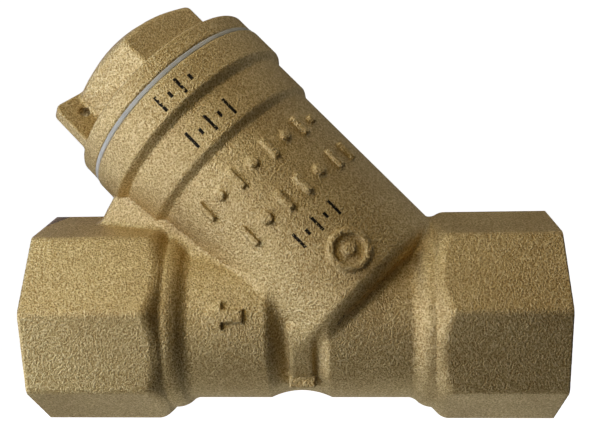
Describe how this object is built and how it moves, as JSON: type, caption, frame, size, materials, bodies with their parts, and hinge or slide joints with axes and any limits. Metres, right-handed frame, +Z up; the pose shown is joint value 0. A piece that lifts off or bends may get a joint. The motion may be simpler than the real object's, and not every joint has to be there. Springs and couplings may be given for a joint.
{
  "type": "y strainer",
  "caption": "Threaded brass Y strainer with octagonal pipe ends, an angled screen branch, a hexagon cap with a seal-wire lug, and a removable screen cartridge.",
  "frame": {"origin": "on the run axis at the first full turn of the inlet thread, 1.6 mm inside the inlet face", "axes": "+X along the run and out of the inlet port, +Z up, the screen branch leaning in the XZ plane towards the outlet at -X, -Y the side with the flow arrow"},
  "size_m": [0.105, 0.0472, 0.0879],
  "materials": {
    "cast_brass": "shot-blasted hot-pressed brass, machined in the ports",
    "cap_brass": "shot-blasted hot-pressed brass, machined thread",
    "ptfe": "white PTFE, satin",
    "screen_steel": "rolled stainless sheet",
    "mesh_steel": "woven stainless wire"
  },
  "bodies": {
    "housing": {"body": "cast_brass"},
    "screen": {"screen_support_tube": "screen_steel", "screen_mesh": "mesh_steel", "screen_upper_ring": "screen_steel", "screen_lower_ring": "screen_steel", "screen_seam_strip": "screen_steel"},
    "gasket": {"cap_gasket": "ptfe"},
    "cap": {"cap": "cap_brass"}
  },
  "joints": [
    {"name": "screen_draw", "type": "slide", "parent": "housing", "child": "screen", "axis": [-0.6947, 0, 0.7193], "range_m": [0, 0.065]},
    {"name": "cap_lift", "type": "slide", "parent": "screen", "child": "gasket", "axis": [-0.6947, 0, 0.7193], "range_m": [0, 0.012]},
    {"name": "cap_turn", "type": "hinge", "parent": "gasket", "child": "cap", "pos_m": [-0.0333, 0, 0], "axis": [-0.6947, 0, 0.7193], "range_deg": [0, 2880]}
  ],
  "couplings": [
    {"joint": "cap_lift", "follows": "cap_turn", "m_per_rad": 0.00023873}
  ]
}
